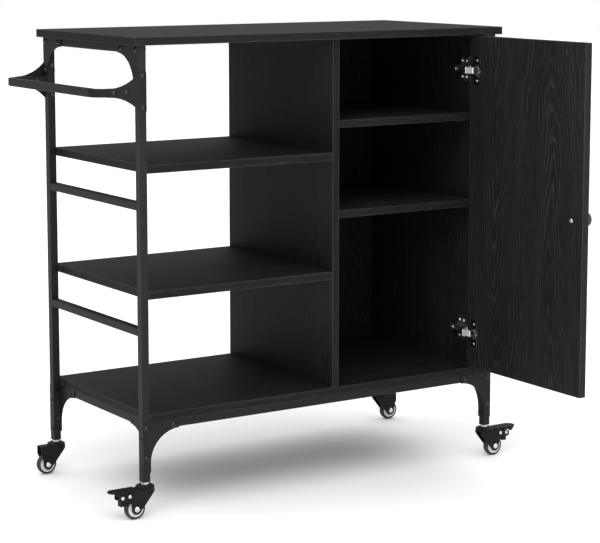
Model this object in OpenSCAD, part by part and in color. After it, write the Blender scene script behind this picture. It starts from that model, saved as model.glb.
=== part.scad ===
// Kitchen island cart on casters: square-tube steel frame, wood-grain panels, open shelves on the left,
// a cabinet with one door on the right, a tube push handle on the left side.
// X runs along the long side, -Y is the front, +Z is up, the floor is z = 0.

/* [Frame] */
// Length of the steel frame over the outer faces of the posts
frame_w = 810; // [700:5:1000]
// Depth of the steel frame over the outer faces of the posts
frame_d = 386; // [340:2:460]
// Height of the worktop's upper face above the floor
total_h = 885; // [800:5:960]
// Side of the square steel tube
tube = 15; // [12:1:25]
// Wall of the square steel tube
tube_wall = 1.5; // [1:0.1:2.5]
// Height of the lower end of the posts above the floor
post_foot_z = 67; // [64:1:80]

/* [Panels] */
// Thickness of every wood panel
panel_t = 15; // [12:1:18]
// How far the worktop stands out past the frame on every side
top_overhang = 11; // [0:1:30]
// Height of the bottom panel's upper face
bottom_z = 193.5; // [180:0.5:260]
// Distance from the frame's left face to the divider's left face
divider_x = 419; // [350:1:480]
// Height of the upper left shelf's upper face
shelf_left_upper_z = 653.5; // [560:0.5:740]
// Height of the lower left shelf's upper face
shelf_left_lower_z = 422.5; // [340:0.5:500]
// Height of the upper cabinet shelf's upper face
shelf_right_upper_z = 712.5; // [600:0.5:760]
// Height of the lower cabinet shelf's upper face
shelf_right_lower_z = 536.5; // [400:0.5:580]
// Thickness of the cabinet's back panel
back_t = 4; // [3:0.5:6]

/* [Door] */
// Width of the door
door_w = 344; // [300:1:360]
// Gap between the door and the panels above and below it
door_gap = 2; // [1:0.5:4]
// Height of the upper hinge's centre
hinge_upper_z = 799; // [760:1:820]
// Height of the lower hinge's centre
hinge_lower_z = 265; // [240:1:320]
// Diameter of the knob
knob_d = 28; // [20:1:36]
// How far the knob stands out of the door
knob_h = 26; // [20:1:30]

/* [Handle] */
// How far the handle reaches out of the frame
handle_reach = 88; // [70:1:120]
// Height of the handle's centre line
handle_z = 787; // [700:1:800]
// Outer radius of the handle's two bends
handle_bend_r = 30; // [22:1:40]

/* [Casters] */
// Radius of the wheels
wheel_r = 20; // [18:0.5:21]
// Width of the tyres
wheel_w = 14; // [10:1:16]
// Distance from the swivel axis to the wheel axle
caster_trail = 22; // [18:1:26]
// Reach of the brake pedal past the swivel axis
pedal_reach = 76; // [60:1:84]

/* [Hidden] */
// Facet setting for round parts: anything above 12 is an exact circle
ROUND = 48;
// Small depth added to cuts so that they pass through a face
CUT = 1;
// Thickness of the steel gusset plates
plate_t = 2;
// Gap between the two plates of one foot
plate_gap = 0.3;
// Radial clearance between parts that turn in each other
RUN = 0.08;

post_top_z = total_h - panel_t;
rail_top_z = bottom_z - panel_t;
post_plug_h = 30;
post_socket_h = 26;
side_bar_upper_z = 586;
side_bar_lower_z = 354;
rear_y = frame_d - tube;
right_x = frame_w - tube;

// Gusset plates: legs of the L, the concave corner and the bolt spacing
gusset_leg_h = 94;
gusset_leg_w = 16;
gusset_arm_h = 16;
gusset_arm_r = 60;
gusset_arm_w = gusset_leg_w + gusset_arm_r;
bolt_inset = tube / 2;
bolt_pitch = 57;
bolt_drop_top = 7.5;
bolt_drop_front = 10;
bolt_drop_side = 31;
bolt_shank_d = 5;
bolt_head_d = 10.5;
bolt_head_h = 3.2;
bolt_hole_d = 5.2;
bolt_nut_d = 8;
bolt_nut_h = 2.4;
bolt_end_h = 1;
bolt_dome_r = 6.2;
bolt_socket_d = 4.6;
bolt_socket_depth = 1.8;

// Handle gussets
handle_plate_h = 72;
handle_plate_reach = 62;
handle_plate_arm_h = 16;
handle_plate_curve_r = 80;
handle_plate_curve_x = 60;
handle_bolt_dz = 29;
handle_bolt_near = 25;
handle_bolt_far = 50;
handle_bolts = [[tube / 2, handle_bolt_dz], [tube / 2, -handle_bolt_dz], [-handle_bolt_near, 0],
                [-handle_bolt_far, 0]];

// The handle's arms stop short of the plates on the frame's left face
handle_arm_gap = plate_t + plate_gap;

// Shelf brackets and their screws
bracket_t = 2;
bracket_l = 24;
bracket_foot_x = 3;
bracket_screw_in = 8;
bracket_screw_d = 4;
bracket_screw_l = 12;
bracket_screw_end_gap = 1;
bracket_edge = 1;
bracket_head_d = 8;
bracket_head_h = 2;

// Supports of the cabinet shelves
pin_d = 5;
pin_l = 9;
pin_pad_t = 1;
pin_inset = 45;

// Cabinet and its door, which closes between the divider and the side panel
side_panel_x = right_x - panel_t;
cabinet_x = divider_x + panel_t;
shelf_right_front_y = 22.5;
door_z0 = bottom_z + door_gap;
door_z1 = post_top_z - door_gap;
door_h = door_z1 - door_z0;
// The open door: inner face, hinge-side edge
door_open_x = 756.5;
door_edge_y = 7.5;
door_free_y = door_edge_y - door_w;
knob_edge = 32.5;
knob_y = door_free_y + knob_edge;
knob_z = (door_z0 + door_z1) / 2;
knob_base_r = 8.4;
knob_neck_r = 6.2;
knob_rim_r = knob_d / 2;
knob_neck_h = 12;
knob_under_h = 17.5;
knob_rim_h = 20.5;
knob_bevel = 1;
knob_face_in = 4;
knob_screw_d = 4;
knob_screw_in = 8;
knob_screw_head_d = 8.4;
knob_screw_head_h = 2;
knob_screw_taper = 2.4;
cup_d = 26;
cup_depth = 11;
cup_y = door_edge_y - 21.5;
cup_collar_t = 1.4;
cup_ear_l = 54;
cup_ear_w = 18;
cup_screw_pitch = 40.5;
cup_wall = 1.2;
cup_rim = 1.5;
cup_gap = 0.3;
cup_screw_d = 6.4;
cup_screw_h = 1.4;
hinge_screw_taper = 2;

// Cross recess in the heads of the small screws
recess_l = 3.4;
recess_w = 0.9;
recess_depth = 0.9;

// Fixed side of the hinges and the swinging link
hinge_base_t = 2.5;
hinge_plate_y = 39;
hinge_plate_w = 30;
hinge_plate_h = 50;
hinge_arm_x = 13;
hinge_arm_l = 48;
hinge_arm_h = 13;
hinge_pivot_x = 770;
hinge_pivot_y = 28;
hinge_cheek_t = 1.4;
hinge_cheek_l = 11;
hinge_cheek_w = 8;
hinge_cheek_gap = 0.3;
hinge_arm_y = hinge_pivot_y + 3.5;
hinge_screw_y = [48.5, 62];
hinge_screw_dz = 16;
hinge_screw_d = 7;
hinge_screw_h = 1.6;
hinge_adjust_d = 6;
hinge_adjust_y = 72.5;
hinge_link_h = 12;
hinge_link_t = 2;
hinge_link_knee = [749, 14];
hinge_link_tip = [751.5, -5];
hinge_pin_d = 5;
hinge_tip_d = 4;
hinge_knee_d = 3;

// Casters: swivel head and its stem
stem_d = 9;
stem_collar_d = 14;
stem_top_z = post_foot_z + 24;
stem_bore_d = stem_d + 2 * RUN;
head_d = 35;
head_z0 = 54;
head_groove_z = 57;
head_groove_h = 0.8;
head_groove_depth = 0.8;
head_shoulder_z = 59.8;
head_z1 = 62.6;
head_top_d = 25;
head_gap = 0.3;

// Casters: fork, bent from one sheet, and the outline of its cheeks
fork_t = 1.8;
fork_gap = wheel_w + 3;
fork_w = fork_gap + 2 * fork_t;
fork_bend_r = 3;
fork_top_z = 58;
fork_front_x = 15;
fork_front_z = 50;
fork_waist = [-4, 26];
fork_eye_r = 10;
// Where the straight edges meet the eye, in degrees below and above its middle
fork_eye_front_a = 20;
fork_eye_rear_a = 15;
fork_knee = [-33.5, 34];
fork_rear_x = 37;
fork_rear_z = 40.5;
// The front forks reach further back, and are cut lower under the brake pedal
brake_fork_x = 58;
brake_fork_z0 = 38;
brake_fork_bevel = 2.5;
brake_fork_z1 = 54.6;
brake_fork_shoulder_x = 18.5;
brake_fork_slope_x = 30;
brake_fork_rear_z1 = 48;

// Casters: axle and wheel
axle_d = 5;
axle_hole_d = axle_d + 0.6;
axle_nut_d = 11;
axle_nut_h = 4.2;
axle_dome_r = 6.6;
hub_d = 31;
hub_bore_d = axle_d + 2 * RUN;
hub_boss_d = 11;
hub_boss_gap = 0.3;
hub_inset = 1;
hub_groove_r = 7.5;
hub_groove_w = 5.5;
hub_groove_depth = 2.4;
tyre_gap = 0.1;
tyre_shoulder = 2.5;
tyre_bevel = 0.6;
tyre_edge = 1.6;
tyre_crown = 4;

// Casters: brake lever and its rivets
pedal_z = 55.6;
pedal_t = 2.2;
pedal_w = 26;
pedal_root_x = 20.5;
pedal_tip_l = 8;
pedal_lip_t = 1.8;
pedal_lip_h = 4;
pedal_toe_h = 7;
pedal_toe_x = 62;
pedal_toe_l = 4;
pedal_lip_x = 42;
pedal_pivot = [-36, 46];
pedal_tab_gap = 0.3;
pedal_tab_t = 1.6;
pedal_tab_r = 5.5;
pad_l = 10;
pad_x = wheel_r + caster_trail + 1.6;
pad_z0 = 28;
pad_h = 13;
pad_web_t = 3;
pad_web_w = 11;
rivet_d = 4;
rivet_head_d = 7;
rivet_head_h = 1.6;
rivet_dome_r = 4.6;
rivet_rear = [-51, 45];

// Extents of the whole cart with the door open, so that the origin sits under their middle
all_x0 = -handle_reach;
all_x1 = right_x + tube / 2 + pedal_reach;
all_y0 = door_free_y;
all_y1 = frame_d + top_overhang;
origin_x = (all_x0 + all_x1) / 2;
origin_y = (all_y0 + all_y1) / 2;

STEEL = [0.2, 0.2, 0.21];
WOOD = [0.16, 0.16, 0.16];
NICKEL = [0.75, 0.75, 0.77];
RUBBER = [0.08, 0.08, 0.08];
WHITE = [0.85, 0.85, 0.85];
PLASTIC = [0.12, 0.12, 0.12];

// Moves from the frame's left front floor corner to the part's origin
module place() translate([-origin_x, -origin_y, 0]) children();

// Mirrors left-hand geometry to the right-hand side of the frame
module flip_x() translate([frame_w, 0, 0]) mirror([1, 0, 0]) children();

// Mirrors front geometry to the rear side of the frame
module flip_y() translate([0, frame_d, 0]) mirror([0, 1, 0]) children();

// ---- steel frame ----

// Square tube along Z, open at the top, with a plug at the foot that takes the caster stem
module post() {
  hollow_w = tube - 2 * tube_wall;
  difference() {
    translate([0, 0, post_foot_z]) cube([tube, tube, post_top_z - post_foot_z]);
    translate([tube_wall, tube_wall, post_foot_z + post_plug_h]) cube([hollow_w, hollow_w, post_top_z]);
    translate([tube / 2, tube / 2, post_foot_z - CUT])
      cylinder(d = stem_d, h = post_socket_h + CUT, $fn = ROUND);
  }
}

// Square tube along X from x0 to x1, its lower left front edge at [x0, y, z]
module tube_x(x0, x1, y, z) {
  difference() {
    translate([x0, y, z]) cube([x1 - x0, tube, tube]);
    translate([x0 - CUT, y + tube_wall, z + tube_wall])
      cube([x1 - x0 + 2 * CUT, tube - 2 * tube_wall, tube - 2 * tube_wall]);
  }
}

// Square tube along Y from y0 to y1, its lower left front edge at [x, y0, z]
module tube_y(x, y0, y1, z) {
  difference() {
    translate([x, y0, z]) cube([tube, y1 - y0, tube]);
    translate([x + tube_wall, y0 - CUT, z + tube_wall])
      cube([tube - 2 * tube_wall, y1 - y0 + 2 * CUT, tube - 2 * tube_wall]);
  }
}

module post_front_left() color(STEEL) place() post();
module post_rear_left() color(STEEL) place() flip_y() post();
module post_front_right() color(STEEL) place() flip_x() post();
module post_rear_right() color(STEEL) place() flip_x() flip_y() post();

module rail_top_left() color(STEEL) place() tube_y(0, tube, rear_y, post_top_z - tube);
module rail_top_right() color(STEEL) place() tube_y(right_x, tube, rear_y, post_top_z - tube);
module rail_top_rear() color(STEEL) place() tube_x(tube, right_x, rear_y, post_top_z - tube);

module rail_bottom_front() color(STEEL) place()
  tube_x(tube + plate_t, right_x - plate_t, 0, rail_top_z - tube);
module rail_bottom_rear() color(STEEL) place()
  tube_x(tube + plate_t, right_x - plate_t, rear_y, rail_top_z - tube);
module rail_bottom_left() color(STEEL) place()
  tube_y(tube + plate_t, tube, rear_y, rail_top_z - tube);
module rail_bottom_right() color(STEEL) place()
  tube_y(right_x - plate_t - tube, tube, rear_y, rail_top_z - tube);

module side_bar_upper() color(STEEL) place() tube_y(0, tube, rear_y, side_bar_upper_z - tube);
module side_bar_lower() color(STEEL) place() tube_y(0, tube, rear_y, side_bar_lower_z - tube);

// L-shaped plate with a concave inner corner, in the XZ plane, its outer corner at the origin, the leg
// running down and the arm along +X; the drops are the distances of the bolts below the corner
module gusset(first_drop, arm_drop) {
  difference() {
    translate([0, -plate_t, -gusset_leg_h]) cube([gusset_arm_w, plate_t, gusset_leg_h]);
    translate([gusset_arm_w, -plate_t - CUT, -gusset_arm_h - gusset_arm_r])
      rotate([-90, 0, 0]) cylinder(r = gusset_arm_r, h = plate_t + 2 * CUT, $fn = ROUND);
    translate([gusset_leg_w, -plate_t - CUT, -gusset_leg_h - CUT])
      cube([gusset_arm_w, plate_t + 2 * CUT, gusset_leg_h - gusset_arm_h - gusset_arm_r + CUT]);
    for (at = [[bolt_inset, first_drop], [bolt_inset, first_drop + bolt_pitch],
               [bolt_inset + bolt_pitch, arm_drop]])
      translate([at[0], -plate_t - CUT, -at[1]])
        rotate([-90, 0, 0]) cylinder(d = bolt_hole_d, h = plate_t + 2 * CUT, $fn = ROUND);
  }
}

// Places an XZ plate built for the front face onto the left outer face
module to_left_face() mirror([1, 0, 0]) rotate([0, 0, 90]) children();

// The two plates at the top of the left side
module gussets_top_left() {
  translate([0, 0, post_top_z]) to_left_face() gusset(bolt_drop_top, bolt_drop_top);
  flip_y() translate([0, 0, post_top_z]) to_left_face() gusset(bolt_drop_top, bolt_drop_top);
}

module gussets_top() color(STEEL) place() {
  gussets_top_left();
  flip_x() gussets_top_left();
}

// The two plates of one foot: on the post's front face and on its inner side face, a hair apart
module foot_gussets() {
  translate([0, 0, rail_top_z]) gusset(bolt_drop_front, bolt_drop_front);
  translate([tube + plate_t, plate_gap, rail_top_z])
    to_left_face() gusset(bolt_drop_side, bolt_drop_front);
}

module gussets_foot_front_left() color(STEEL) place() foot_gussets();
module gussets_foot_rear_left() color(STEEL) place() flip_y() foot_gussets();
module gussets_foot_front_right() color(STEEL) place() flip_x() foot_gussets();
module gussets_foot_rear_right() color(STEEL) place() flip_x() flip_y() foot_gussets();

// T-shaped plate on the post's front face that carries one arm of the handle
module handle_gusset() {
  difference() {
    translate([-handle_plate_reach, -plate_t, handle_z - handle_plate_h / 2])
      cube([handle_plate_reach + tube, plate_t, handle_plate_h]);
    for (side = [-1, 1])
      translate([-handle_plate_curve_x, -plate_t - CUT,
                 handle_z + side * (handle_plate_arm_h / 2 + handle_plate_curve_r)])
        rotate([-90, 0, 0]) cylinder(r = handle_plate_curve_r, h = plate_t + 2 * CUT, $fn = ROUND);
    for (at = handle_bolts)
      translate([at[0], -plate_t - CUT, handle_z + at[1]])
        rotate([-90, 0, 0]) cylinder(d = bolt_hole_d, h = plate_t + 2 * CUT, $fn = ROUND);
  }
}

module gussets_handle() color(STEEL) place() {
  handle_gusset();
  flip_y() handle_gusset();
}

// Domed bolt head lying along Y with a hexagon socket, its seat at the origin, its shank reaching shank_l
// into +Y
module bolt_head(shank_l) {
  difference() {
    intersection() {
      translate([0, -bolt_head_h, 0]) rotate([-90, 0, 0])
        cylinder(d = bolt_head_d, h = bolt_head_h, $fn = ROUND);
      translate([0, bolt_dome_r - bolt_head_h, 0]) sphere(r = bolt_dome_r, $fn = ROUND);
    }
    translate([0, -bolt_head_h - CUT, 0]) rotate([-90, 0, 0])
      cylinder(d = bolt_socket_d, h = bolt_socket_depth + CUT, $fn = 6);
  }
  if (shank_l > 0)
    rotate([-90, 0, 0]) cylinder(d = bolt_shank_d, h = shank_l, $fn = ROUND);
}

// Hexagon nut with its seat at the origin, standing out along +Y, with the bolt's end in it
module bolt_nut() {
  rotate([-90, 0, 0]) cylinder(d = bolt_nut_d, h = bolt_nut_h, $fn = 6);
  translate([0, bolt_nut_h, 0]) rotate([-90, 0, 0]) cylinder(d = bolt_shank_d, h = bolt_end_h, $fn = ROUND);
}

// A bolt through a plate and a tube: head on the plate's outer face, nut on the tube's far face
module plate_bolt(with_nut = true) {
  translate([0, -plate_t, 0]) bolt_head(plate_t);
  if (with_nut) translate([0, tube, 0]) bolt_nut();
}

// Bolts of one top plate on the left; on the right the side panel leaves no room for nuts
module top_bolts(with_nut) {
  for (at = [[bolt_inset, bolt_drop_top], [bolt_inset, bolt_drop_top + bolt_pitch],
             [bolt_inset + bolt_pitch, bolt_drop_top]])
    translate([0, 0, post_top_z]) to_left_face() translate([at[0], 0, -at[1]]) plate_bolt(with_nut);
}

// Bolts of one foot: three through the front plate, two through the post into the side plate
module foot_bolts() {
  for (at = [[bolt_inset, bolt_drop_front], [bolt_inset, bolt_drop_front + bolt_pitch],
             [bolt_inset + bolt_pitch, bolt_drop_front]])
    translate([at[0], 0, rail_top_z - at[1]]) plate_bolt();
  for (drop = [bolt_drop_side, bolt_drop_side + bolt_pitch])
    translate([0, 0, rail_top_z - drop]) to_left_face() translate([bolt_inset + plate_gap, 0, 0]) {
      bolt_head(0);
      translate([0, tube, 0]) rotate([-90, 0, 0]) cylinder(d = bolt_shank_d, h = plate_t, $fn = ROUND);
      translate([0, tube + plate_t, 0]) bolt_nut();
    }
}

// Bolts of one handle plate
module handle_bolt_set()
  for (at = handle_bolts)
    translate([at[0], 0, handle_z + at[1]]) plate_bolt();

module frame_bolts() color(STEEL) place() {
  for (right = [0, 1], rear = [0, 1])
    translate([right * frame_w, rear * frame_d, 0]) mirror([right, 0, 0]) mirror([0, rear, 0]) {
      top_bolts(right == 0);
      foot_bolts();
    }
  handle_bolt_set();
  flip_y() handle_bolt_set();
}

// Cross-section of the handle's tube
module handle_section() {
  difference() {
    square([tube, tube]);
    translate([tube_wall, tube_wall]) square([tube - 2 * tube_wall, tube - 2 * tube_wall]);
  }
}

// One arm of the handle with its bend
module handle_half() {
  z0 = handle_z - tube / 2;
  tube_x(-handle_reach + handle_bend_r, -handle_arm_gap, 0, z0);
  translate([-handle_reach + handle_bend_r, handle_bend_r, z0]) rotate([0, 0, 180])
    rotate_extrude(angle = 90, $fn = ROUND) translate([handle_bend_r - tube, 0]) handle_section();
}

// U-shaped handle of square tube: two arms, two bends and a grip along Y
module handle() color(STEEL) place() {
  handle_half();
  flip_y() handle_half();
  tube_y(-handle_reach, handle_bend_r, frame_d - handle_bend_r, handle_z - tube / 2);
}

// ---- panels ----

module worktop() color(WOOD) place()
  translate([-top_overhang, -top_overhang, post_top_z])
    cube([frame_w + 2 * top_overhang, frame_d + 2 * top_overhang, panel_t]);

// Pilot holes for the shelf brackets' screws, in the panel's left edge
module bracket_pilots(top_z) {
  for (end = [0, 1])
    translate([tube - CUT, end * frame_d, top_z - panel_t / 2]) mirror([0, end, 0])
      translate([0, tube + bracket_l - bracket_screw_in, 0])
        rotate([0, 90, 0]) cylinder(d = bracket_screw_d, h = bracket_screw_l + CUT, $fn = ROUND);
}

module bottom_panel() color(WOOD) place()
  difference() {
    translate([tube, 0, rail_top_z]) cube([right_x - tube, frame_d, panel_t]);
    bracket_pilots(bottom_z);
  }

// Open shelf between the left posts and the divider
module left_shelf(top_z) {
  difference() {
    translate([tube, 0, top_z - panel_t]) cube([divider_x - tube, frame_d, panel_t]);
    bracket_pilots(top_z);
  }
}

module shelf_left_upper() color(WOOD) place() left_shelf(shelf_left_upper_z);
module shelf_left_lower() color(WOOD) place() left_shelf(shelf_left_lower_z);

// Clears the rear top rail from an upright panel
module rail_notch(x0, x1)
  translate([x0 - CUT, rear_y, post_top_z - tube]) cube([x1 - x0 + 2 * CUT, tube + CUT, tube + CUT]);

module divider() color(WOOD) place()
  difference() {
    translate([divider_x, 0, bottom_z]) cube([panel_t, frame_d, post_top_z - bottom_z]);
    rail_notch(divider_x, cabinet_x);
  }

module side_panel() color(WOOD) place()
  difference() {
    translate([side_panel_x, 0, bottom_z]) cube([panel_t, frame_d - back_t, post_top_z - bottom_z]);
    rail_notch(side_panel_x, right_x);
  }

module back_panel() color(WOOD) place()
  translate([cabinet_x, frame_d - back_t, bottom_z])
    cube([right_x - cabinet_x, back_t, post_top_z - tube - bottom_z]);

// Shelf inside the cabinet
module cabinet_shelf(top_z)
  translate([cabinet_x, shelf_right_front_y, top_z - panel_t])
    cube([side_panel_x - cabinet_x, frame_d - back_t - shelf_right_front_y, panel_t]);

module shelf_right_upper() color(WOOD) place() cabinet_shelf(shelf_right_upper_z);
module shelf_right_lower() color(WOOD) place() cabinet_shelf(shelf_right_lower_z);

// Angle bracket between a post and the left edge of a shelf, with one screw into the shelf
module shelf_bracket(top_z) {
  z0 = top_z - panel_t + bracket_edge;
  h = panel_t - 2 * bracket_edge;
  translate([tube - bracket_t, tube, z0]) cube([bracket_t, bracket_l, h]);
  translate([bracket_foot_x, tube, z0]) cube([tube - bracket_foot_x, bracket_t, h]);
  translate([tube - bracket_t, tube + bracket_l - bracket_screw_in, top_z - panel_t / 2]) {
    rotate([0, -90, 0]) cylinder(d = bracket_head_d, h = bracket_head_h, $fn = ROUND);
    rotate([0, 90, 0])
      cylinder(d = bracket_screw_d - 2 * RUN, h = bracket_t + bracket_screw_l - bracket_screw_end_gap,
               $fn = ROUND);
  }
}

module shelf_brackets() color(STEEL) place()
  for (top_z = [bottom_z, shelf_left_lower_z, shelf_left_upper_z]) {
    shelf_bracket(top_z);
    flip_y() shelf_bracket(top_z);
  }

// Shelf support with a flat pad under the cabinet shelf, standing on the wall at x = 0, reaching to +X
module shelf_pin() {
  pin_drop = pin_pad_t + pin_d / 2;
  translate([0, 0, -pin_drop]) rotate([0, 90, 0]) cylinder(d = pin_d, h = pin_l, $fn = ROUND);
  translate([0, -pin_d / 2, -pin_drop]) cube([pin_l, pin_d, pin_drop]);
}

module shelf_pins() color(NICKEL) place()
  for (top_z = [shelf_right_upper_z, shelf_right_lower_z],
       y = [shelf_right_front_y + pin_inset, frame_d - pin_inset]) {
    translate([cabinet_x, y, top_z - panel_t]) shelf_pin();
    translate([side_panel_x, y, top_z - panel_t]) mirror([1, 0, 0]) shelf_pin();
  }

// ---- door, drawn open at a right angle to the front ----

// Moves to a point on the door's inner face, +Z turned to point out of that face (towards -X)
module on_door_inside(y, z) translate([door_open_x, y, z]) rotate([0, -90, 0]) children();

module door() color(WOOD) place()
  difference() {
    translate([door_open_x, door_free_y, door_z0]) cube([panel_t, door_w, door_h]);
    for (z = [hinge_upper_z, hinge_lower_z])
      on_door_inside(cup_y, z) translate([0, 0, -cup_depth])
        cylinder(d = cup_d, h = cup_depth + CUT, $fn = ROUND);
    on_door_inside(knob_y, knob_z) translate([0, 0, -panel_t - CUT])
      cylinder(d = knob_screw_d + 2 * RUN, h = panel_t + 2 * CUT, $fn = ROUND);
  }

// Turned knob on the door's outer face, with a blind hole for its screw
module knob() color(PLASTIC) place()
  translate([door_open_x + panel_t, knob_y, knob_z]) rotate([0, 90, 0])
    difference() {
      rotate_extrude($fn = ROUND)
        polygon([[0, 0], [knob_base_r, 0], [knob_neck_r, knob_neck_h],
                 [knob_rim_r - knob_bevel, knob_under_h], [knob_rim_r, knob_rim_h],
                 [knob_rim_r - knob_bevel, knob_h - knob_bevel],
                 [knob_rim_r - knob_face_in, knob_h], [0, knob_h]]);
      translate([0, 0, -CUT])
        cylinder(d = knob_screw_d + 2 * RUN, h = knob_screw_in + 2 * CUT, $fn = ROUND);
    }

// Tapered screw head standing on z = 0, with a cross recess
module screw_head(d, taper, h)
  difference() {
    cylinder(d1 = d, d2 = d - taper, h = h, $fn = ROUND);
    for (turn = [0, 90])
      rotate([0, 0, turn]) translate([-recess_l / 2, -recess_w / 2, h - recess_depth])
        cube([recess_l, recess_w, recess_depth + CUT]);
  }

// Screw through the door into the knob, its head on the door's inner face
module knob_screw() color(NICKEL) place()
  on_door_inside(knob_y, knob_z) {
    screw_head(knob_screw_head_d, knob_screw_taper, knob_screw_head_h);
    translate([0, 0, -panel_t - knob_screw_in])
      cylinder(d = knob_screw_d, h = panel_t + knob_screw_in, $fn = ROUND);
  }

// Cup of a concealed hinge: round cup sunk in the door with a collar and two screwed ears
module hinge_cup(z)
  on_door_inside(cup_y, z) {
    difference() {
      union() {
        translate([0, 0, cup_gap - cup_depth])
          cylinder(d = cup_d - 2 * cup_gap, h = cup_depth - cup_gap, $fn = ROUND);
        cylinder(d = cup_d + 2 * cup_rim, h = cup_collar_t, $fn = ROUND);
        translate([-cup_ear_l / 2, -cup_ear_w / 2, 0]) cube([cup_ear_l, cup_ear_w, cup_collar_t]);
      }
      translate([0, 0, cup_gap + cup_wall - cup_depth])
        cylinder(d = cup_d - 2 * cup_gap - 2 * cup_wall, h = cup_depth + cup_collar_t, $fn = ROUND);
    }
    for (side = [-1, 1])
      translate([side * cup_screw_pitch / 2, 0, cup_collar_t])
        screw_head(cup_screw_d, hinge_screw_taper, cup_screw_h);
  }

module hinge_cups() color(NICKEL) place() {
  hinge_cup(hinge_upper_z);
  hinge_cup(hinge_lower_z);
}

// Mounting plate and arm housing of a concealed hinge on the cabinet's side panel
module hinge_plate(z) {
  translate([side_panel_x - hinge_base_t, hinge_plate_y, z - hinge_plate_h / 2])
    cube([hinge_base_t, hinge_plate_w, hinge_plate_h]);
  translate([side_panel_x - hinge_arm_x, hinge_arm_y, z - hinge_arm_h / 2])
    cube([hinge_arm_x - hinge_base_t, hinge_arm_l, hinge_arm_h]);
  for (side = [0, 1])
    translate([hinge_pivot_x - hinge_cheek_w / 2, hinge_arm_y + hinge_cheek_w / 2 - hinge_cheek_l, z])
      mirror([0, 0, side]) translate([0, 0, hinge_link_h / 2 + hinge_cheek_gap])
        cube([hinge_cheek_w, hinge_cheek_l, hinge_cheek_t]);
  for (y = hinge_screw_y, side = [-1, 1])
    translate([side_panel_x - hinge_base_t, y, z + side * hinge_screw_dz]) rotate([0, -90, 0])
      screw_head(hinge_screw_d, hinge_screw_taper, hinge_screw_h);
  translate([side_panel_x - hinge_arm_x, hinge_adjust_y, z]) rotate([0, -90, 0])
    cylinder(d = hinge_adjust_d, h = hinge_screw_h, $fn = ROUND);
}

module hinge_plates() color(NICKEL) place() {
  hinge_plate(hinge_upper_z);
  hinge_plate(hinge_lower_z);
}

// Flat bar from p to q, seen from above
module link_bar(p, q) {
  run = q - p;
  translate(p) rotate(atan2(run[1], run[0]))
    translate([0, -hinge_link_t / 2]) square([norm(run), hinge_link_t]);
}

// Swan-neck link between the housing and the cup: two bars, round at the knee and at both ends
module hinge_link(z)
  translate([0, 0, z - hinge_link_h / 2]) linear_extrude(height = hinge_link_h) {
    link_bar([hinge_pivot_x, hinge_pivot_y], hinge_link_knee);
    link_bar(hinge_link_knee, hinge_link_tip);
    translate([hinge_pivot_x, hinge_pivot_y]) circle(d = hinge_pin_d, $fn = ROUND);
    translate(hinge_link_knee) circle(d = hinge_knee_d, $fn = ROUND);
    translate(hinge_link_tip) circle(d = hinge_tip_d, $fn = ROUND);
  }

module hinge_link_upper() color(NICKEL) place() hinge_link(hinge_upper_z);
module hinge_link_lower() color(NICKEL) place() hinge_link(hinge_lower_z);

// ---- casters, drawn with the swivel axis on the Z axis and the wheel trailing to -X ----

// Moves a caster under one of the four posts, trailing outwards
module under_post(right, rear)
  translate([right ? frame_w - tube / 2 : tube / 2, rear ? frame_d - tube / 2 : tube / 2, 0])
    mirror([right ? 1 : 0, 0, 0]) children();

// Steel stem in the post's foot with the collar that the swivel head turns under
module caster_stem() {
  translate([0, 0, head_z0]) cylinder(d = stem_d, h = stem_top_z - head_z0, $fn = ROUND);
  translate([0, 0, head_z1 + head_gap])
    cylinder(d = stem_collar_d, h = post_foot_z - head_z1 - head_gap, $fn = ROUND);
}

module caster_stems() color(NICKEL) place()
  for (right = [false, true], rear = [false, true])
    under_post(right, rear) caster_stem();

// The sheet's section seen along the fork: an upside-down U with round bends, half_w from middle to face
module sheet_arch(half_w, bend_r, top_z) {
  translate([-half_w, 0]) square([2 * half_w, top_z - bend_r]);
  translate([bend_r - half_w, 0]) square([2 * (half_w - bend_r), top_z]);
  for (side = [-1, 1])
    translate([side * (half_w - bend_r), top_z - bend_r]) circle(r = bend_r, $fn = ROUND);
}

// Side view of a fork's cheeks: front edge, round eye at the axle, and a rear end that takes the brake
module cheek_outline(with_brake) {
  rear = with_brake
    ? [[-brake_fork_x + brake_fork_bevel, brake_fork_z0], [-brake_fork_x, brake_fork_z0 + brake_fork_bevel],
       [-brake_fork_x, brake_fork_rear_z1], [-brake_fork_slope_x, brake_fork_z1],
       [-brake_fork_shoulder_x, brake_fork_z1], [-brake_fork_shoulder_x, fork_top_z + CUT]]
    : [[-fork_rear_x, fork_rear_z], [-fork_rear_x, fork_top_z + CUT]];
  front = [[fork_front_x, fork_top_z + CUT], [fork_front_x, fork_front_z], fork_waist];
  under = [[fork_eye_r * cos(fork_eye_front_a) - caster_trail, wheel_r - fork_eye_r * sin(fork_eye_front_a)],
           [-fork_eye_r * cos(fork_eye_rear_a) - caster_trail, wheel_r + fork_eye_r * sin(fork_eye_rear_a)],
           fork_knee];
  polygon(concat(front, under, rear));
  translate([-caster_trail, wheel_r]) circle(r = fork_eye_r, $fn = ROUND);
}

// Solid of revolution of the swivel head, with a groove round its middle
module swivel_head() {
  groove_d = head_d - 2 * head_groove_depth;
  translate([0, 0, head_z0]) cylinder(d = head_d, h = head_groove_z - head_z0, $fn = ROUND);
  translate([0, 0, head_groove_z]) cylinder(d = groove_d, h = head_groove_h, $fn = ROUND);
  translate([0, 0, head_groove_z + head_groove_h])
    cylinder(d = head_d, h = head_shoulder_z - head_groove_z - head_groove_h, $fn = ROUND);
  translate([0, 0, head_shoulder_z])
    cylinder(d1 = head_d, d2 = head_top_d, h = head_z1 - head_shoulder_z, $fn = ROUND);
}

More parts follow.
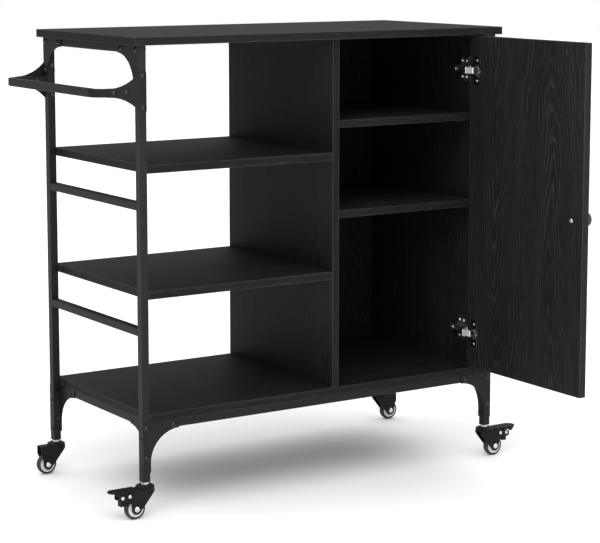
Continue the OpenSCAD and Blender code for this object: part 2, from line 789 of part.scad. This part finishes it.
// A hole through both cheeks at a point of the side view
module cross_hole(at, d)
  translate([at[0], -fork_w, at[1]]) rotate([-90, 0, 0]) cylinder(d = d, h = 2 * fork_w, $fn = ROUND);

// Pressed steel fork: a bent sheet cut to the cheeks' outline, with the round swivel head on it
module fork(with_brake) {
  reach = brake_fork_x + fork_front_x + 2 * CUT;
  difference() {
    union() {
      intersection() {
        translate([-brake_fork_x - CUT, 0, 0]) rotate([90, 0, 90]) linear_extrude(height = reach)
          difference() {
            sheet_arch(fork_w / 2, fork_bend_r, fork_top_z);
            sheet_arch(fork_gap / 2, fork_bend_r - fork_t, fork_top_z - fork_t);
          }
        translate([0, fork_w, 0]) rotate([90, 0, 0]) linear_extrude(height = 2 * fork_w)
          cheek_outline(with_brake);
      }
      swivel_head();
    }
    translate([0, 0, head_z0 - CUT]) cylinder(d = stem_bore_d, h = head_z1, $fn = ROUND);
    cross_hole([-caster_trail, wheel_r], axle_hole_d);
    if (with_brake) {
      cross_hole(pedal_pivot, rivet_d);
      cross_hole(rivet_rear, rivet_d);
    }
  }
}

// Wheel bolt through the fork with a domed cap nut on each end
module axle() {
  translate([-caster_trail, -fork_w / 2, wheel_r]) rotate([-90, 0, 0])
    cylinder(d = axle_d, h = fork_w, $fn = ROUND);
  for (side = [-1, 1])
    translate([-caster_trail, side * fork_w / 2, wheel_r]) rotate([side * -90, 0, 0])
      intersection() {
        cylinder(d = axle_nut_d, h = axle_nut_h, $fn = ROUND);
        translate([0, 0, axle_nut_h - axle_dome_r]) sphere(r = axle_dome_r, $fn = ROUND);
      }
}

// Plastic wheel centre with a boss that spaces it in the fork and a groove in each face
module hub() {
  boss_l = fork_gap - 2 * hub_boss_gap;
  translate([-caster_trail, 0, wheel_r]) rotate([-90, 0, 0])
    difference() {
      union() {
        translate([0, 0, hub_inset - wheel_w / 2])
          cylinder(d = hub_d, h = wheel_w - 2 * hub_inset, $fn = ROUND);
        translate([0, 0, -boss_l / 2]) cylinder(d = hub_boss_d, h = boss_l, $fn = ROUND);
      }
      translate([0, 0, -fork_gap]) cylinder(d = hub_bore_d, h = 2 * fork_gap, $fn = ROUND);
      for (side = [-1, 1])
        translate([0, 0, side * wheel_w / 2]) rotate_extrude($fn = ROUND)
          translate([hub_groove_r, -hub_groove_depth]) square([hub_groove_w, 2 * hub_groove_depth]);
    }
}

// Half of the tyre's outline, from the bore to the middle of the tread
function tyre_side(s) = [
  [hub_d / 2 + tyre_gap, s * (wheel_w / 2 - tyre_bevel)],
  [wheel_r - tyre_shoulder, s * wheel_w / 2],
  [wheel_r - tyre_bevel, s * (wheel_w / 2 - tyre_edge)],
  [wheel_r, s * (wheel_w / 2 - tyre_crown)]
];

// Tyre with chamfered shoulders
module tyre()
  translate([-caster_trail, 0, wheel_r]) rotate([-90, 0, 0]) rotate_extrude($fn = ROUND)
    polygon([for (p = tyre_side(-1)) p, for (i = [3:-1:0]) tyre_side(1)[i]]);

// Side view of a lip of the foot plate: it deepens from the tip to the toe and runs on to the fork
module pedal_lip()
  translate([0, pedal_w / 2, pedal_z]) rotate([90, 0, 0]) linear_extrude(height = pedal_lip_t)
    polygon([[-pedal_reach + pedal_tip_l, 0], [-pedal_toe_x, -pedal_toe_h],
             [-pedal_toe_x + pedal_toe_l, -pedal_toe_h], [-pedal_toe_x + 2 * pedal_toe_l, -pedal_lip_h],
             [-pedal_lip_x, -pedal_lip_h], [-pedal_lip_x, 0]]);

// Foot plate with a tapered tip, seen from above
module foot_plate()
  translate([0, 0, pedal_z]) linear_extrude(height = pedal_t)
    polygon([[-pedal_root_x, -pedal_w / 2], [-pedal_root_x, pedal_w / 2],
             [-pedal_reach + pedal_tip_l, pedal_w / 2], [-pedal_reach, pedal_w / 2 - pedal_tip_l],
             [-pedal_reach, pedal_tip_l - pedal_w / 2], [-pedal_reach + pedal_tip_l, -pedal_w / 2]]);

// Brake lever: foot plate with lips, a tab inside each cheek, and a pad behind the wheel
module brake() {
  tab_y = fork_gap / 2 - pedal_tab_gap - pedal_tab_t;
  tab_x0 = pedal_pivot[0] - pedal_tab_r;
  difference() {
    union() {
      foot_plate();
      for (side = [0, 1])
        mirror([0, side, 0]) {
          pedal_lip();
          translate([tab_x0, tab_y, pedal_pivot[1]])
            cube([2 * pedal_tab_r, pedal_tab_t, pedal_z - pedal_pivot[1]]);
          translate([pedal_pivot[0], tab_y, pedal_pivot[1]]) rotate([-90, 0, 0])
            cylinder(r = pedal_tab_r, h = pedal_tab_t, $fn = ROUND);
        }
      translate([-pad_x - pad_l, -wheel_w / 2 + 1, pad_z0]) cube([pad_l, wheel_w - 2, pad_h]);
      translate([-pad_x - pad_l, -pad_web_w / 2, pad_z0 + pad_h])
        cube([pad_web_t, pad_web_w, pedal_z - pad_z0 - pad_h]);
    }
    cross_hole(pedal_pivot, rivet_d + 2 * RUN);
  }
}

// Rivet lying along Y, domed outside the cheek, its shank reaching in by shank_l
module rivet(at, shank_l)
  translate([at[0], fork_w / 2, at[1]]) {
    rotate([90, 0, 0]) cylinder(d = rivet_d, h = shank_l, $fn = ROUND);
    intersection() {
      rotate([-90, 0, 0]) cylinder(d = rivet_head_d, h = rivet_head_h, $fn = ROUND);
      translate([0, rivet_head_h - rivet_dome_r, 0]) sphere(r = rivet_dome_r, $fn = ROUND);
    }
  }

// The brake's rivets: the front ones carry the lever's tabs, the rear ones hold the cheeks' ends
module brake_rivets() {
  pivot_shank_l = fork_t + pedal_tab_gap + pedal_tab_t;
  for (side = [0, 1])
    mirror([0, side, 0]) {
      rivet(pedal_pivot, pivot_shank_l);
      rivet(rivet_rear, fork_t);
    }
}

module fork_front_left() color(STEEL) place() under_post(false, false) fork(true);
module fork_front_right() color(STEEL) place() under_post(true, false) fork(true);
module fork_rear_left() color(STEEL) place() under_post(false, true) fork(false);
module fork_rear_right() color(STEEL) place() under_post(true, true) fork(false);
module axle_front_left() color(NICKEL) place() under_post(false, false) axle();
module axle_front_right() color(NICKEL) place() under_post(true, false) axle();
module axle_rear_left() color(NICKEL) place() under_post(false, true) axle();
module axle_rear_right() color(NICKEL) place() under_post(true, true) axle();
module hub_front_left() color(WHITE) place() under_post(false, false) hub();
module hub_front_right() color(WHITE) place() under_post(true, false) hub();
module hub_rear_left() color(WHITE) place() under_post(false, true) hub();
module hub_rear_right() color(WHITE) place() under_post(true, true) hub();
module tyre_front_left() color(RUBBER) place() under_post(false, false) tyre();
module tyre_front_right() color(RUBBER) place() under_post(true, false) tyre();
module tyre_rear_left() color(RUBBER) place() under_post(false, true) tyre();
module tyre_rear_right() color(RUBBER) place() under_post(true, true) tyre();
module brake_front_left() color(STEEL) place() under_post(false, false) brake();
module brake_front_right() color(STEEL) place() under_post(true, false) brake();
module rivets_front_left() color(NICKEL) place() under_post(false, false) brake_rivets();
module rivets_front_right() color(NICKEL) place() under_post(true, false) brake_rivets();

post_front_left();
post_rear_left();
post_front_right();
post_rear_right();
rail_top_left();
rail_top_right();
rail_top_rear();
rail_bottom_front();
rail_bottom_rear();
rail_bottom_left();
rail_bottom_right();
side_bar_upper();
side_bar_lower();
gussets_top();
gussets_foot_front_left();
gussets_foot_rear_left();
gussets_foot_front_right();
gussets_foot_rear_right();
gussets_handle();
frame_bolts();
worktop();
bottom_panel();
divider();
side_panel();
back_panel();
shelf_left_upper();
shelf_left_lower();
shelf_right_upper();
shelf_right_lower();
shelf_brackets();
shelf_pins();
handle();
door();
knob();
knob_screw();
hinge_cups();
hinge_plates();
hinge_link_upper();
hinge_link_lower();
caster_stems();
fork_front_left();
axle_front_left();
hub_front_left();
tyre_front_left();
fork_front_right();
axle_front_right();
hub_front_right();
tyre_front_right();
fork_rear_left();
axle_rear_left();
hub_rear_left();
tyre_rear_left();
fork_rear_right();
axle_rear_right();
hub_rear_right();
tyre_rear_right();
brake_front_left();
brake_front_right();
rivets_front_left();
rivets_front_right();
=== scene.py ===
"""Kitchen island cart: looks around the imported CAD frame. Metres, +X along the cart, -Y front, +Z up."""

import math

import bpy
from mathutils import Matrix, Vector


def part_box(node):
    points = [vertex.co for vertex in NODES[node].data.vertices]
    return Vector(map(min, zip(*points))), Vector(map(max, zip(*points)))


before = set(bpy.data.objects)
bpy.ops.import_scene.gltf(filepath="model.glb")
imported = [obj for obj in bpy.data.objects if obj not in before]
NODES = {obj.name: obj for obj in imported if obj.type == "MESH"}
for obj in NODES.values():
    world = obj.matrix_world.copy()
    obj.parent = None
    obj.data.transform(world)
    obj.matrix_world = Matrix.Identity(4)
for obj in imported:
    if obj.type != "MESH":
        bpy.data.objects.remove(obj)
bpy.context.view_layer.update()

# ---- driving values ----

CAMERA_AT = Vector((-2.051, -3.105, 1.0505))
CAMERA_YAW = math.radians(33.04)
CAMERA_PITCH = math.radians(7.84)
CAMERA_LENS = 116.86
CAMERA_SHIFT = -0.1
SENSOR_WIDTH = 36.0
CLIP_START = 0.05
CLIP_END = 60.0

# Area lights, square: place, width, power; both aim at the cart's middle
LIGHT_AIM = (0.0, 0.0, 0.45)
LIGHTS = {
    "key": ((-2.4, -2.2, 2.6), 2.2, 50.0),
    "fill": ((1.0, -3.4, 1.5), 1.8, 34.0),
}

FLOOR_HALF = 14.0

# Studio dome: its strength at the horizon and overhead, and the sines of the heights where it changes
HORIZON_STRENGTH = 0.155
DOME_STRENGTH = 1.85
DOME_START = 0.22
DOME_FULL = 0.78

# Object axes by name, as unit vectors
X, Y, Z = (1, 0, 0), (0, 1, 0), (0, 0, 1)

# Each wood panel: grain direction, direction across the face, place in the log that sets its figure, and
# shade, a factor on its greys that paints light and shade: below one is painted shade, above one painted
# light
PANELS = {
    "worktop": (X, Y, 1.0, 0.95),
    "bottom_panel": (X, Y, 2.0, 0.85),
    "shelf_left_upper": (X, Y, 3.0, 0.85),
    "shelf_left_lower": (X, Y, 4.0, 0.85),
    "shelf_right_upper": (X, Y, 5.0, 1.0),
    "shelf_right_lower": (X, Y, 6.0, 1.0),
    "divider": (Z, Y, 7.0, 0.80),
    "side_panel": (Z, Y, 8.0, 1.0),
    "back_panel": (Z, X, 9.0, 1.0),
    "door": (Z, Y, 10.0, 1.15),
}

# Veneer figure: spacing of the heart lines, growth rings per metre, and the rings' climb along the grain
FIGURE_PITCH = 0.17
RINGS_PER_METRE = 165.0
RING_CLIMB = 0.10
# How far the painted highlight along a board's edges reaches in
EDGE_HIGHLIGHT_REACH = 0.0016
# Greys of the veneer: its dark and light wood, its pores, and the painted highlight on its edges
WOOD_DARK = 0.0062
WOOD_LIGHT = 0.0235
WOOD_PORE = 0.0500
WOOD_EDGE_HIGHLIGHT = 0.045

# Greys of the powder coat on the frame and on the casters
FRAME_COAT = 0.0118
CASTER_COAT = 0.0075

# Radii of the softened edges, by kind of piece
BOARD_EDGE = 0.0006
TUBE_EDGE = 0.0014
SHEET_EDGE = 0.0003
FORK_EDGE = 0.0005
FITTING_EDGE = 0.0002
MOULDED_EDGE = 0.0006
# An edge sharper than this is softened; points closer than WELD_GAP are joined first
SHARP_ANGLE = math.radians(30.0)
WELD_GAP = 0.00001


# ---- node helpers ----


class Tree:
    """A material's node tree, with short calls for the nodes that the finishes use."""

    def __init__(self, name):
        self.material = bpy.data.materials.new(name)
        self.material.use_nodes = True
        self.tree = self.material.node_tree
        self.tree.nodes.clear()
        self.out = self.tree.nodes.new("ShaderNodeOutputMaterial")
        self.shader = self.tree.nodes.new("ShaderNodeBsdfPrincipled")
        self.tree.links.new(self.shader.outputs[0], self.out.inputs["Surface"])
        self.place = self.node("ShaderNodeTexCoord").outputs["Object"]

    def node(self, kind, **settings):
        made = self.tree.nodes.new(kind)
        for key, value in settings.items():
            setattr(made, key, value)
        return made

    def plug(self, socket, value):
        """Sets a socket to a number or a colour, or links it to another socket."""
        if isinstance(value, bpy.types.NodeSocket):
            self.tree.links.new(value, socket)
        else:
            socket.default_value = value

    def math(self, operation, a, b=0.0, c=0.0):
        made = self.node("ShaderNodeMath", operation=operation)
        for socket, value in zip(made.inputs, (a, b, c)):
            self.plug(socket, value)
        return made.outputs[0]

    def vector(self, operation, a, b=(0.0, 0.0, 0.0)):
        made = self.node("ShaderNodeVectorMath", operation=operation)
        self.plug(made.inputs[0], a)
        self.plug(made.inputs[1], b)
        return made.outputs["Value" if operation == "DOT_PRODUCT" else "Vector"]

    def combine(self, x, y, z):
        made = self.node("ShaderNodeCombineXYZ")
        for socket, value in zip(made.inputs, (x, y, z)):
            self.plug(socket, value)
        return made.outputs[0]

    def noise(self, place, scale, detail=3.0, roughness=0.55):
        made = self.node("ShaderNodeTexNoise")
        self.plug(made.inputs["Vector"], place)
        self.plug(made.inputs["Scale"], scale)
        self.plug(made.inputs["Detail"], detail)
        self.plug(made.inputs["Roughness"], roughness)
        return made.outputs["Fac"]

    def ramp(self, value, low, high, to_low=0.0, to_high=1.0):
        """Maps value from low..high to to_low..to_high with smooth ends."""
        made = self.node("ShaderNodeMapRange", interpolation_type="SMOOTHSTEP")
        for key, number in (("From Min", low), ("From Max", high), ("To Min", to_low), ("To Max", to_high)):
            made.inputs[key].default_value = number
        self.plug(made.inputs["Value"], value)
        return made.outputs["Result"]

    def mix(self, factor, a, b):
        made = self.node("ShaderNodeMix", data_type="RGBA")
        self.plug(made.inputs["Factor"], factor)
        self.plug(made.inputs["A"], a)
        self.plug(made.inputs["B"], b)
        return made.outputs["Result"]

    def edge(self, local, half, width):
        """One on a box's edges, falling to zero within width of them; half is the box's half size."""
        split = self.node("ShaderNodeSeparateXYZ")
        self.plug(split.inputs[0], local)
        a, b, c = (self.math("SUBTRACT", size, self.math("ABSOLUTE", axis))
                   for size, axis in zip(half, split.outputs))
        smaller = self.math("MINIMUM", a, b)
        larger = self.math("MAXIMUM", a, b)
        middle = self.math("MAXIMUM", smaller, self.math("MINIMUM", larger, c))
        return self.ramp(middle, width * 0.4, width, 1.0, 0.0)

    def bump(self, height, distance, strength=1.0, normal=None):
        made = self.node("ShaderNodeBump")
        made.inputs["Strength"].default_value = strength
        made.inputs["Distance"].default_value = distance
        self.plug(made.inputs["Height"], height)
        if normal is not None:
            self.plug(made.inputs["Normal"], normal)
        return made.outputs[0]

    def set(self, **values):
        """Sets the shader's sockets; an underscore in a name stands for a space."""
        for key, value in values.items():
            self.plug(self.shader.inputs[key.replace("_", " ")], value)
        return self.material


def grey(value, warm=0.0):
    """A colour near grey; warm above zero leans to red."""
    return (value * (1 + warm), value, value * (1 - warm), 1.0)


# ---- materials ----


def black_oak(name, grain, across, seed, shade, low, high):
    """Charcoal oak veneer: arched figure in columns, open pores along the grain, matt lacquer."""
    t = Tree(name)
    local = t.vector("SUBTRACT", t.place, tuple((low + high) / 2))
    along = t.vector("DOT_PRODUCT", local, grain)
    side = t.vector("DOT_PRODUCT", local, across)
    depth = t.vector("DOT_PRODUCT", local, tuple(Vector(grain).cross(Vector(across))))

    # growth rings: each column of arches follows its heart line, and its neighbour points the other way
    wander = t.noise(t.combine(seed * 3.1, t.math("MULTIPLY", along, 1.8), 0.0), 1.0, 2.0)
    off = t.math("ADD", side, t.math("MULTIPLY_ADD", wander, 0.10, seed * 0.037))
    from_heart = t.math("PINGPONG", off, FIGURE_PITCH / 2)
    radius = t.math("SQRT", t.math("MULTIPLY_ADD", from_heart, from_heart, 0.0003))
    turn = t.math("COSINE", t.math("MULTIPLY", off, math.pi / FIGURE_PITCH))
    climb = t.math("MULTIPLY", t.math("MULTIPLY", along, RING_CLIMB), turn)
    drift_place = t.combine(t.math("MULTIPLY", side, 11.0), t.math("MULTIPLY", along, 2.6), seed * 7.7)
    drift = t.math("MULTIPLY", t.noise(drift_place, 1.0, 5.0), 0.05)
    phase = t.math("ADD", t.math("ADD", radius, climb), t.math("MULTIPLY_ADD", depth, 1.7, drift))
    ring = t.math("FRACT", t.math("MULTIPLY", phase, RINGS_PER_METRE))
    early = t.math("MULTIPLY", t.ramp(ring, 0.0, 0.6, 1.0, 0.0), t.ramp(ring, 0.0, 0.08))
    bands = t.noise(t.combine(t.math("MULTIPLY", phase, 38.0), seed, 0.0), 1.0, 2.0)
    early = t.math("MULTIPLY", early, t.ramp(bands, 0.35, 0.65, 0.35, 1.0))

    # pores: fine dashes along the grain, crowded in the early wood
    streak_place = t.combine(t.math("MULTIPLY", side, 1500.0), t.math("MULTIPLY", along, 26.0),
                             t.math("MULTIPLY", depth, 1500.0))
    streak = t.noise(streak_place, 1.0, 2.0, 0.6)
    pores = t.math("MULTIPLY", t.ramp(streak, 0.48, 0.66), t.math("MULTIPLY_ADD", early, 0.75, 0.25))
    fibre_place = t.combine(t.math("MULTIPLY", side, 420.0), t.math("MULTIPLY", along, 5.0),
                            t.math("MULTIPLY", depth, 420.0))
    fibre = t.noise(fibre_place, 1.0, 4.0, 0.65)
    cloud_place = t.combine(t.math("MULTIPLY", side, 14.0), t.math("MULTIPLY", along, 2.0), seed)
    cloud = t.noise(cloud_place, 1.0, 3.0)

    tone = t.math("MULTIPLY_ADD", fibre, 0.5, t.math("MULTIPLY", cloud, 0.35))
    tone = t.math("MULTIPLY_ADD", early, 0.36, tone)
    # shade scales the greys: painted light and shade, set per panel
    light_wood = grey(WOOD_LIGHT * shade, 0.02)
    base = t.mix(t.ramp(tone, 0.25, 0.95), grey(WOOD_DARK * shade), light_wood)
    colour = t.mix(t.math("MULTIPLY", pores, 0.8), base, grey(WOOD_PORE * shade, 0.02))

    # painted highlight: a lighter, patchy line along the board's edges
    edge = t.edge(local, (high - low) / 2, EDGE_HIGHLIGHT_REACH)
    edge_highlight = t.math("MULTIPLY", edge, t.ramp(cloud, 0.3, 0.6, 0.25, 0.7))
    colour = t.mix(edge_highlight, colour, grey(WOOD_EDGE_HIGHLIGHT, 0.02))

    height = t.math("SUBTRACT", t.math("MULTIPLY", fibre, 0.35), pores)
    normal = t.bump(height, 0.00022, 0.6)
    roughness = t.math("MULTIPLY_ADD", pores, 0.16, t.math("MULTIPLY_ADD", fibre, 0.12, 0.48))
    return t.set(Base_Color=colour, Roughness=roughness, Normal=normal, IOR=1.48, Specular_IOR_Level=0.08)


def powder_coat(name, shade):
    """Matt black powder coat on steel: fine orange peel, faint dust, and a painted highlight on its sharp
    corners.
    """
    t = Tree(name)
    peel = t.noise(t.place, 900.0, 2.0, 0.5)
    grain = t.noise(t.place, 3800.0, 1.0, 0.5)
    patch = t.noise(t.place, 14.0, 3.0)
    # painted highlight: sharp corners are made lighter
    corner_pointiness = t.node("ShaderNodeNewGeometry").outputs["Pointiness"]
    edge = t.ramp(corner_pointiness, 0.53, 0.62)
    tone = t.math("MULTIPLY_ADD", grain, 0.5, t.math("MULTIPLY", patch, 0.5))
    body = t.mix(t.ramp(tone, 0.3, 0.7), grey(shade * 0.8), grey(shade * 1.25))
    colour = t.mix(t.math("MULTIPLY", edge, 0.35), body, grey(shade * 2.4))
    roughness = t.math("MULTIPLY_ADD", patch, 0.12, 0.42)
    normal = t.bump(peel, 0.00012, 0.35, t.bump(grain, 0.00004, 0.5))
    return t.set(Base_Color=colour, Roughness=roughness, Normal=normal, IOR=1.5, Specular_IOR_Level=0.12)


def black_oxide(name):
    """Bolts: black and smooth, with a clear highlight on the dome."""
    t = Tree(name)
    patch = t.noise(t.place, 260.0, 3.0)
    colour = t.mix(t.ramp(patch, 0.3, 0.7), grey(0.003), grey(0.006))
    roughness = t.math("MULTIPLY_ADD", patch, 0.10, 0.20)
    normal = t.bump(t.noise(t.place, 3000.0, 2.0), 0.00003, 0.3)
    return t.set(Base_Color=colour, Roughness=roughness, Normal=normal, IOR=1.5, Specular_IOR_Level=0.45)


def nickel(name, roughness=0.3, shade=1.0):
    """Nickel plate with fine rolling marks and slight dulling."""
    t = Tree(name)
    smear = t.noise(t.vector("MULTIPLY", t.place, (2600.0, 180.0, 2600.0)), 1.0, 2.0)
    patch = t.noise(t.place, 90.0, 3.0)
    # shade below one darkens the plate: painted shade, used inside the hinge cups
    colour = t.mix(t.ramp(patch, 0.3, 0.7), grey(0.60 * shade, 0.015), grey(0.78 * shade, 0.01))
    rough = t.math("MULTIPLY_ADD", patch, 0.16, roughness - 0.06)
    normal = t.bump(smear, 0.00003, 0.35)
    return t.set(Base_Color=colour, Metallic=1.0, Roughness=rough, Normal=normal)


def zinc(name):
    """Bright zinc on pressed steel: soft, even sheen with fine scratches along the part."""
    t = Tree(name)
    scratch = t.noise(t.vector("MULTIPLY", t.place, (300.0, 300.0, 3200.0)), 1.0, 3.0)
    patch = t.noise(t.place, 150.0, 3.0)
    colour = t.mix(t.ramp(patch, 0.3, 0.7), grey(0.74, 0.01), grey(0.88, 0.005))
    rough = t.math("MULTIPLY_ADD", scratch, 0.18, 0.36)
    return t.set(Base_Color=colour, Metallic=0.45, Roughness=rough, Normal=t.bump(scratch, 0.00003, 0.4))


def rubber(name):
    """Black tyre rubber, slightly dusty."""
    t = Tree(name)
    fine = t.noise(t.place, 1400.0, 3.0)
    dust = t.noise(t.place, 60.0, 4.0)
    colour = t.mix(t.ramp(dust, 0.45, 0.75), grey(0.013), grey(0.026, 0.03))
    roughness = t.math("MULTIPLY_ADD", dust, 0.2, 0.55)
    return t.set(Base_Color=colour, Roughness=roughness, Normal=t.bump(fine, 0.0001, 0.4))


def white_plastic(name):
    """White moulded nylon with a faint flow texture."""
    t = Tree(name)
    flow = t.noise(t.place, 120.0, 3.0)
    fine = t.noise(t.place, 1800.0, 2.0)
    colour = t.mix(t.ramp(flow, 0.3, 0.7), grey(0.70, 0.01), grey(0.80, 0.005))
    roughness = t.math("MULTIPLY_ADD", flow, 0.1, 0.3)
    return t.set(Base_Color=colour, Roughness=roughness, Normal=t.bump(fine, 0.00004, 0.3), IOR=1.53)


def black_plastic(name):
    """Satin black moulded plastic."""
    t = Tree(name)
    flow = t.noise(t.place, 200.0, 3.0)
    fine = t.noise(t.place, 2400.0, 2.0)
    colour = t.mix(t.ramp(flow, 0.3, 0.7), grey(0.010), grey(0.015))
    roughness = t.math("MULTIPLY_ADD", flow, 0.12, 0.26)
    return t.set(Base_Color=colour, Roughness=roughness, Normal=t.bump(fine, 0.00004, 0.3), IOR=1.5)


def floor_paint(name):
    """Plain pale floor."""
    t = Tree(name)
    soft = t.noise(t.place, 3.0, 3.0)
    colour = t.mix(t.ramp(soft, 0.3, 0.7), grey(0.91), grey(0.93))
    return t.set(Base_Color=colour, Roughness=0.8, Specular_IOR_Level=0.1)


STEEL = powder_coat("steel_powder_coat", FRAME_COAT)
CASTER_STEEL = powder_coat("caster_powder_coat", CASTER_COAT)
BOLT = black_oxide("bolt_black_oxide")
NICKEL = nickel("nickel_plate")
# the hinge cups' nickel is darkened: painted shade inside the cups
NICKEL_PAINTED_SHADE = nickel("nickel_plate_painted_shade", 0.24, 0.45)
ZINC = zinc("bright_zinc")
RUBBER = rubber("tyre_rubber")
WHITE = white_plastic("wheel_nylon")
KNOB = black_plastic("knob_plastic")


# ---- CAD nodes: finish and softened edges ----

# Starts of node names, with their material, edge radius and number of bevel segments
FINISHES = (
    (("post_", "rail_", "side_bar_", "handle"), STEEL, TUBE_EDGE, 3),
    (("gussets_",), STEEL, SHEET_EDGE, 2),
    (("shelf_brackets",), STEEL, FITTING_EDGE, 2),
    (("frame_bolts",), BOLT, FITTING_EDGE, 2),
    (("hinge_link_", "caster_stems"), ZINC, SHEET_EDGE, 2),
    (("hinge_cups",), NICKEL_PAINTED_SHADE, FITTING_EDGE, 2),
    (("hinge_plates", "shelf_pins", "knob_screw", "axle_", "rivets_"), NICKEL, FITTING_EDGE, 2),
    (("fork_", "brake_"), CASTER_STEEL, FORK_EDGE, 2),
    (("tyre_",), RUBBER, MOULDED_EDGE, 2),
    (("hub_",), WHITE, SHEET_EDGE, 2),
)


def finish_node(name, material, edge, segments=2):
    """Gives a CAD node its material, and rounds its sharp edges by edge metres."""
    piece = NODES[name]
    piece.data.materials.clear()
    piece.data.materials.append(material)
    weld = piece.modifiers.new("weld", "WELD")
    weld.merge_threshold = WELD_GAP
    bevel = piece.modifiers.new("round", "BEVEL")
    bevel.width = edge
    bevel.segments = segments
    bevel.limit_method = "ANGLE"
    bevel.angle_limit = SHARP_ANGLE
    bevel.use_clamp_overlap = True
    bevel.harden_normals = False


def finish_panels():
    for name, (grain, across, seed, shade) in PANELS.items():
        low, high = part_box(name)
        material = black_oak("oak_" + name, grain, across, seed, shade, low, high)
        finish_node(name, material, BOARD_EDGE)


def finish_fittings():
    for starts, material, edge, segments in FINISHES:
        for name in NODES:
            if name.startswith(starts):
                finish_node(name, material, edge, segments)
    finish_node("knob", KNOB, MOULDED_EDGE)


# ---- stage ----


def make_lights():
    for name, (at, width, power) in LIGHTS.items():
        data = bpy.data.lights.new(name, "AREA")
        data.shape = "SQUARE"
        data.size = width
        data.energy = power
        made = bpy.data.objects.new(name, data)
        bpy.context.scene.collection.objects.link(made)
        made.location = at
        made.rotation_euler = (Vector(LIGHT_AIM) - Vector(at)).to_track_quat("-Z", "Y").to_euler()


def make_floor():
    mesh = bpy.data.meshes.new("floor")
    near, far = -FLOOR_HALF, FLOOR_HALF
    corners = [(near, near, 0), (far, near, 0), (far, far, 0), (near, far, 0)]
    mesh.from_pydata(corners, [], [(0, 1, 2, 3)])
    floor = bpy.data.objects.new("floor", mesh)
    bpy.context.scene.collection.objects.link(floor)
    floor.data.materials.append(floor_paint("pale_floor"))


def make_world():
    """A soft overhead dome that fades towards the horizon; the camera itself sees plain white."""
    world = bpy.data.worlds.new("studio")
    bpy.context.scene.world = world
    world.use_nodes = True
    tree = world.node_tree
    tree.nodes.clear()
    direction = tree.nodes.new("ShaderNodeTexCoord").outputs["Generated"]
    split = tree.nodes.new("ShaderNodeSeparateXYZ")
    tree.links.new(direction, split.inputs[0])
    fade = tree.nodes.new("ShaderNodeMapRange")
    fade.interpolation_type = "SMOOTHSTEP"
    fade.inputs["From Min"].default_value = DOME_START
    fade.inputs["From Max"].default_value = DOME_FULL
    fade.inputs["To Min"].default_value = HORIZON_STRENGTH
    fade.inputs["To Max"].default_value = DOME_STRENGTH
    tree.links.new(split.outputs["Z"], fade.inputs["Value"])
    dome = tree.nodes.new("ShaderNodeBackground")
    tree.links.new(fade.outputs["Result"], dome.inputs["Strength"])
    plain = tree.nodes.new("ShaderNodeBackground")
    for background in (dome, plain):
        background.inputs["Color"].default_value = (1.0, 1.0, 1.0, 1.0)
    path = tree.nodes.new("ShaderNodeLightPath")
    choice = tree.nodes.new("ShaderNodeMixShader")
    tree.links.new(path.outputs["Is Camera Ray"], choice.inputs[0])
    tree.links.new(dome.outputs[0], choice.inputs[1])
    tree.links.new(plain.outputs[0], choice.inputs[2])
    out = tree.nodes.new("ShaderNodeOutputWorld")
    tree.links.new(choice.outputs[0], out.inputs["Surface"])


def make_camera():
    data = bpy.data.cameras.new("camera")
    data.lens = CAMERA_LENS
    data.sensor_width = SENSOR_WIDTH
    data.sensor_fit = "HORIZONTAL"
    data.shift_y = CAMERA_SHIFT
    data.clip_start = CLIP_START
    data.clip_end = CLIP_END
    camera = bpy.data.objects.new("camera", data)
    bpy.context.scene.collection.objects.link(camera)
    camera.location = CAMERA_AT
    camera.rotation_euler = (math.pi / 2 - CAMERA_PITCH, 0.0, -CAMERA_YAW)
    bpy.context.scene.camera = camera


def set_colour_management():
    view = bpy.context.scene.view_settings
    view.view_transform = "Standard"
    view.look = "None"
    view.exposure = 0.0
    view.gamma = 1.0


make_camera()
finish_panels()
finish_fittings()
make_floor()
make_world()
make_lights()
set_colour_management()
